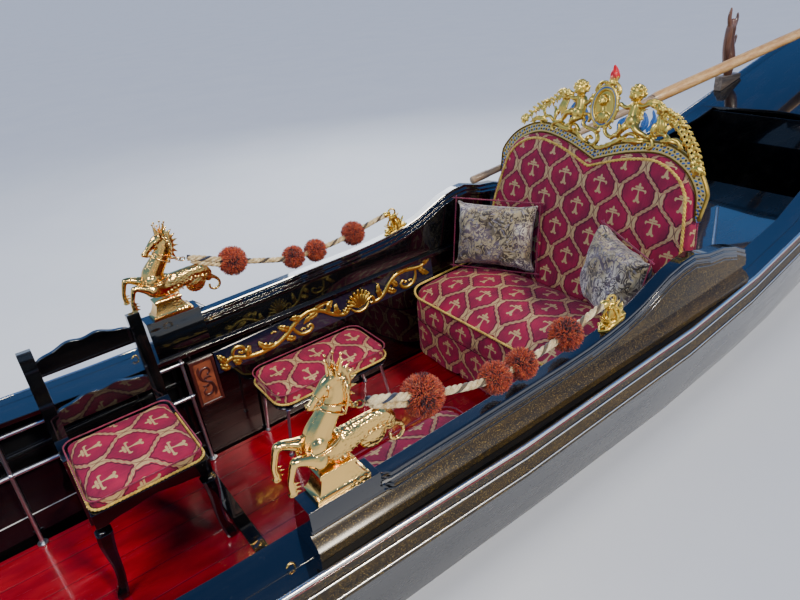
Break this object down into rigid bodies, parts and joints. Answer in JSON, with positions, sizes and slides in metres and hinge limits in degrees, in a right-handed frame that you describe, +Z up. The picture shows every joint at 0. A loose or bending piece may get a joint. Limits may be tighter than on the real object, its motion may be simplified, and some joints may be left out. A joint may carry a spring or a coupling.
{
  "type": "gondola boat",
  "caption": "Long black flat-bottomed rowing boat with upturned ends, a carved sofa, brass sea horses, tasselled cords and one oar.",
  "frame": {"origin": "on the waterline amidships, on the line from stem to stern", "axes": "+X to the bow, +Y to port, +Z up"},
  "size_m": [10.8073, 1.437, 1.7337],
  "materials": {
    "black_lacquer": "gloss black lacquer",
    "red_lacquer": "gloss red paint",
    "dark_wood": "dark mahogany frame",
    "blue_ground": "dark blue paint with gilded scrolls",
    "gilt": "gilded carving over blue",
    "brass": "polished",
    "steel": "polished",
    "damask": "magenta damask with a pale gold lattice",
    "floral": "mottled floral print with dark red piping",
    "rope": "twisted gold and black cord",
    "pompon": "orange and dark maroon yarn",
    "walnut": "oiled walnut",
    "honey_wood": "oiled light wood"
  },
  "bodies": {
    "boat": {"bottom_planking": "black_lacquer", "side_port": "black_lacquer", "side_starboard": "black_lacquer", "stem_post": "black_lacquer", "stern_post": "black_lacquer", "gunwale_port": "black_lacquer", "gunwale_starboard": "black_lacquer", "side_deck_port": "black_lacquer", "side_deck_starboard": "black_lacquer", "fore_deck": "black_lacquer", "aft_deck": "black_lacquer", "floor_batten": "black_lacquer", "fore_bulkhead": "black_lacquer", "sofa_bulkhead": "black_lacquer", "aft_bulkhead": "black_lacquer", "rear_boards": "black_lacquer", "coaming_port": "black_lacquer", "coaming_starboard": "black_lacquer", "inner_wall_port": "black_lacquer", "inner_wall_starboard": "black_lacquer", "bench_frame_port": "black_lacquer", "bench_frame_starboard": "black_lacquer", "floorboards": "red_lacquer", "wall_tile_port": "dark_wood", "wall_tile_starboard": "dark_wood", "scroll_panel_port": "blue_ground", "scroll_panel_starboard": "blue_ground", "sofa_crest": "gilt", "cord_knob_port": "gilt", "cord_knob_starboard": "gilt", "sea_horse_port": "brass", "sea_horse_starboard": "brass", "guard_rods_port": "steel", "guard_rods_starboard": "steel", "bow_iron": "steel", "sofa_base": "damask", "sofa_seat": "damask", "sofa_back": "damask", "bench_cushion_port": "damask", "bench_cushion_starboard": "damask", "pillow_port": "floral", "pillow_starboard": "floral", "cord_port": "rope", "cord_starboard": "rope", "pompon_port_1": "pompon", "pompon_port_2": "pompon", "pompon_port_3": "pompon", "pompon_port_4": "pompon", "pompon_starboard_1": "pompon", "pompon_starboard_2": "pompon", "pompon_starboard_3": "pompon", "pompon_starboard_4": "pompon", "oarlock_block": "walnut"},
    "chair": {"chair_frame": "black_lacquer", "chair_cushion": "damask"},
    "oarlock": {"oarlock": "walnut"},
    "oar": {"oar": "honey_wood"}
  },
  "joints": [
    {"name": "chair_lift", "type": "slide", "parent": "boat", "child": "chair", "axis": [0, 0, 1], "range_m": [0, 0.5]},
    {"name": "oarlock_lift", "type": "slide", "parent": "boat", "child": "oarlock", "axis": [0, 0, 1], "range_m": [0, 0.3]},
    {"name": "oar_lift", "type": "slide", "parent": "boat", "child": "oar", "axis": [0, 0, 1], "range_m": [0, 0.4]}
  ]
}
